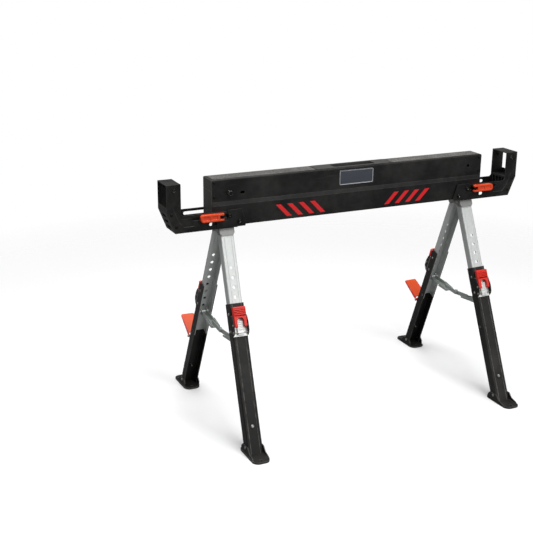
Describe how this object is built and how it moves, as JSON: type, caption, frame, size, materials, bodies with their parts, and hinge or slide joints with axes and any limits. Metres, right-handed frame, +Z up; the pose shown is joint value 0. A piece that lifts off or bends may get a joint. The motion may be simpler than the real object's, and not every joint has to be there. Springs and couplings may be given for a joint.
{
  "type": "folding sawhorse",
  "caption": "Folding steel sawhorse with a channel beam, sliding support arms, clamp levers and telescoping splayed legs held by latches.",
  "frame": {"origin": "on the floor, under the middle of the beam", "axes": "+X along the beam, front (clamp lever side) at -Y, +Z up"},
  "size_m": [1.182, 0.6474, 0.743],
  "materials": {
    "cap_grey": "satin powder coat",
    "beam_black": "satin powder coat",
    "tread_black": "textured anti-slip",
    "tray_black": "fine grained",
    "plate_grey": "satin",
    "stripe_red": "satin print",
    "zinc_steel": "zinc plated",
    "bracket_black": "satin powder coat",
    "insert_black": "moulded",
    "arm_black": "satin powder coat",
    "lever_orange": "moulded, fine grain",
    "hood_steel": "zinc plated",
    "galvanised": "galvanised",
    "leg_black": "satin powder coat",
    "latch_red": "moulded",
    "bright_steel": "bright zinc",
    "flap_orange": "satin powder coat"
  },
  "bodies": {
    "beam": {"beam_shell": "beam_black", "beam_end_cap_left": "cap_grey", "beam_end_cap_right": "cap_grey", "beam_cap_rivets": "zinc_steel", "beam_tread_strips": "tread_black", "beam_handle_tray": "tray_black", "beam_name_plates": "plate_grey", "beam_warning_stripes": "stripe_red", "beam_link_studs": "zinc_steel", "beam_bracket_plates": "bracket_black", "beam_bolts_and_fold_pins": "zinc_steel", "cam_bolt_left": "zinc_steel", "cam_bolt_right": "zinc_steel"},
    "arm_left": {"arm_frame_left": "arm_black", "arm_insert_left": "insert_black", "arm_fixings_left": "zinc_steel"},
    "cam_lever_left": {"cam_lever_left": "lever_orange"},
    "leg_head_left": {"leg_head_left": "hood_steel", "leg_head_pins_left": "zinc_steel"},
    "upper_leg_front_left": {"upper_leg_front_left": "galvanised"},
    "lower_leg_front_left": {"lower_leg_front_left": "leg_black", "foot_front_left": "leg_black", "latch_base_front_left": "bright_steel", "leg_fixings_front_left": "zinc_steel"},
    "latch_lever_front_left": {"latch_lever_front_left": "latch_red"},
    "latch_tab_front_left": {"latch_tab_front_left": "bright_steel"},
    "brace_link_front_left": {"brace_link_front_left": "galvanised"},
    "upper_leg_rear_left": {"upper_leg_rear_left": "galvanised"},
    "lower_leg_rear_left": {"lower_leg_rear_left": "leg_black", "foot_rear_left": "leg_black", "latch_base_rear_left": "bright_steel", "leg_fixings_rear_left": "zinc_steel"},
    "latch_lever_rear_left": {"latch_lever_rear_left": "latch_red"},
    "latch_tab_rear_left": {"latch_tab_rear_left": "bright_steel"},
    "brace_link_rear_left": {"brace_link_rear_left": "galvanised"},
    "rail_flap_rear_left": {"rail_flap_rear_left": "flap_orange"},
    "arm_right": {"arm_frame_right": "arm_black", "arm_insert_right": "insert_black", "arm_fixings_right": "zinc_steel"},
    "cam_lever_right": {"cam_lever_right": "lever_orange"},
    "leg_head_right": {"leg_head_right": "hood_steel", "leg_head_pins_right": "zinc_steel"},
    "upper_leg_front_right": {"upper_leg_front_right": "galvanised"},
    "lower_leg_front_right": {"lower_leg_front_right": "leg_black", "foot_front_right": "leg_black", "latch_base_front_right": "bright_steel", "leg_fixings_front_right": "zinc_steel"},
    "latch_lever_front_right": {"latch_lever_front_right": "latch_red"},
    "latch_tab_front_right": {"latch_tab_front_right": "bright_steel"},
    "brace_link_front_right": {"brace_link_front_right": "galvanised"},
    "upper_leg_rear_right": {"upper_leg_rear_right": "galvanised"},
    "lower_leg_rear_right": {"lower_leg_rear_right": "leg_black", "foot_rear_right": "leg_black", "latch_base_rear_right": "bright_steel", "leg_fixings_rear_right": "zinc_steel"},
    "latch_lever_rear_right": {"latch_lever_rear_right": "latch_red"},
    "latch_tab_rear_right": {"latch_tab_rear_right": "bright_steel"},
    "brace_link_rear_right": {"brace_link_rear_right": "galvanised"},
    "rail_flap_rear_right": {"rail_flap_rear_right": "flap_orange"}
  },
  "joints": [
    {"name": "arm_slide_left", "type": "slide", "parent": "beam", "child": "arm_left", "axis": [1, 0, 0], "range_m": [0, 0.054]},
    {"name": "cam_lever_turn_left", "type": "hinge", "parent": "beam", "child": "cam_lever_left", "pos_m": [-0.43, -0.0438, 0.6375], "axis": [0, 0, 1], "range_deg": [0, 95]},
    {"name": "leg_fold_left", "type": "hinge", "parent": "beam", "child": "leg_head_left", "pos_m": [-0.374, 0, 0.617], "axis": [0, 1, 0], "range_deg": [-90, 0]},
    {"name": "leg_spread_front_left", "type": "hinge", "parent": "leg_head_left", "child": "upper_leg_front_left", "pos_m": [-0.40974, -0.0145, 0.59099], "axis": [0.9996, 0, -0.0279], "range_deg": [0, 18.8]},
    {"name": "leg_height_front_left", "type": "slide", "parent": "upper_leg_front_left", "child": "lower_leg_front_left", "axis": [-0.0258, -0.3827, -0.9235], "range_m": [-0.1405, 0.0843]},
    {"name": "latch_lever_turn_front_left", "type": "hinge", "parent": "lower_leg_front_left", "child": "latch_lever_front_left", "pos_m": [-0.4166, -0.14276, 0.34547], "axis": [0.9996, 0, -0.0279], "range_deg": [0, 60]},
    {"name": "latch_tab_turn_front_left", "type": "hinge", "parent": "lower_leg_front_left", "child": "latch_tab_front_left", "pos_m": [-0.41718, -0.14719, 0.32458], "axis": [0.9996, 0, -0.0279], "range_deg": [0, 20]},
    {"name": "brace_turn_front_left", "type": "hinge", "parent": "upper_leg_front_left", "child": "brace_link_front_left", "pos_m": [-0.41809, -0.13626, 0.29193], "axis": [0.9996, 0, -0.0279], "range_deg": [-89.67, 0]},
    {"name": "leg_spread_rear_left", "type": "hinge", "parent": "leg_head_left", "child": "upper_leg_rear_left", "pos_m": [-0.40974, 0.0145, 0.59099], "axis": [0.9996, 0, -0.0279], "range_deg": [-18.8, 0]},
    {"name": "leg_height_rear_left", "type": "slide", "parent": "upper_leg_rear_left", "child": "lower_leg_rear_left", "axis": [-0.0258, 0.3827, -0.9235], "range_m": [-0.1405, 0.0843]},
    {"name": "latch_lever_turn_rear_left", "type": "hinge", "parent": "lower_leg_rear_left", "child": "latch_lever_rear_left", "pos_m": [-0.4166, 0.14276, 0.34547], "axis": [0.9996, 0, -0.0279], "range_deg": [-60, 0]},
    {"name": "latch_tab_turn_rear_left", "type": "hinge", "parent": "lower_leg_rear_left", "child": "latch_tab_rear_left", "pos_m": [-0.41718, 0.14719, 0.32458], "axis": [0.9996, 0, -0.0279], "range_deg": [-20, 0]},
    {"name": "rail_flap_turn_rear_left", "type": "hinge", "parent": "lower_leg_rear_left", "child": "rail_flap_rear_left", "pos_m": [-0.42095, 0.20251, 0.18952], "axis": [0.9996, 0, -0.0279], "range_deg": [0, 78]},
    {"name": "brace_turn_rear_left", "type": "hinge", "parent": "upper_leg_rear_left", "child": "brace_link_rear_left", "pos_m": [-0.41809, 0.13626, 0.29193], "axis": [0.9996, 0, -0.0279], "range_deg": [0, 89.67]},
    {"name": "arm_slide_right", "type": "slide", "parent": "beam", "child": "arm_right", "axis": [1, 0, 0], "range_m": [-0.054, 0]},
    {"name": "cam_lever_turn_right", "type": "hinge", "parent": "beam", "child": "cam_lever_right", "pos_m": [0.43, -0.0438, 0.6375], "axis": [0, 0, 1], "range_deg": [-95, 0]},
    {"name": "leg_fold_right", "type": "hinge", "parent": "beam", "child": "leg_head_right", "pos_m": [0.374, 0, 0.617], "axis": [0, 1, 0], "range_deg": [0, 90]},
    {"name": "leg_spread_front_right", "type": "hinge", "parent": "leg_head_right", "child": "upper_leg_front_right", "pos_m": [0.40974, -0.0145, 0.59099], "axis": [0.9996, 0, 0.0279], "range_deg": [0, 18.8]},
    {"name": "leg_height_front_right", "type": "slide", "parent": "upper_leg_front_right", "child": "lower_leg_front_right", "axis": [-0.0258, 0.3827, 0.9235], "range_m": [-0.0843, 0.1405]},
    {"name": "latch_lever_turn_front_right", "type": "hinge", "parent": "lower_leg_front_right", "child": "latch_lever_front_right", "pos_m": [0.4166, -0.14276, 0.34547], "axis": [0.9996, 0, 0.0279], "range_deg": [0, 60]},
    {"name": "latch_tab_turn_front_right", "type": "hinge", "parent": "lower_leg_front_right", "child": "latch_tab_front_right", "pos_m": [0.41718, -0.14719, 0.32458], "axis": [0.9996, 0, 0.0279], "range_deg": [0, 20]},
    {"name": "brace_turn_front_right", "type": "hinge", "parent": "upper_leg_front_right", "child": "brace_link_front_right", "pos_m": [0.41809, -0.13626, 0.29193], "axis": [0.9996, 0, 0.0279], "range_deg": [-89.67, 0]},
    {"name": "leg_spread_rear_right", "type": "hinge", "parent": "leg_head_right", "child": "upper_leg_rear_right", "pos_m": [0.40974, 0.0145, 0.59099], "axis": [0.9996, 0, 0.0279], "range_deg": [-18.8, 0]},
    {"name": "leg_height_rear_right", "type": "slide", "parent": "upper_leg_rear_right", "child": "lower_leg_rear_right", "axis": [-0.0258, -0.3827, 0.9235], "range_m": [-0.0843, 0.1405]},
    {"name": "latch_lever_turn_rear_right", "type": "hinge", "parent": "lower_leg_rear_right", "child": "latch_lever_rear_right", "pos_m": [0.4166, 0.14276, 0.34547], "axis": [0.9996, 0, 0.0279], "range_deg": [-60, 0]},
    {"name": "latch_tab_turn_rear_right", "type": "hinge", "parent": "lower_leg_rear_right", "child": "latch_tab_rear_right", "pos_m": [0.41718, 0.14719, 0.32458], "axis": [0.9996, 0, 0.0279], "range_deg": [-20, 0]},
    {"name": "rail_flap_turn_rear_right", "type": "hinge", "parent": "lower_leg_rear_right", "child": "rail_flap_rear_right", "pos_m": [0.42095, 0.20251, 0.18952], "axis": [0.9996, 0, 0.0279], "range_deg": [0, 78]},
    {"name": "brace_turn_rear_right", "type": "hinge", "parent": "upper_leg_rear_right", "child": "brace_link_rear_right", "pos_m": [0.41809, 0.13626, 0.29193], "axis": [0.9996, 0, 0.0279], "range_deg": [0, 89.67]}
  ],
  "couplings": [
    {"joint": "brace_turn_front_left", "follows": "leg_spread_front_left", "ratio": -4.769},
    {"joint": "leg_spread_rear_left", "follows": "leg_spread_front_left", "ratio": -1},
    {"joint": "brace_turn_rear_left", "follows": "leg_spread_front_left", "ratio": 4.769},
    {"joint": "brace_turn_front_right", "follows": "leg_spread_front_right", "ratio": -4.769},
    {"joint": "leg_spread_rear_right", "follows": "leg_spread_front_right", "ratio": -1},
    {"joint": "brace_turn_rear_right", "follows": "leg_spread_front_right", "ratio": 4.769}
  ]
}
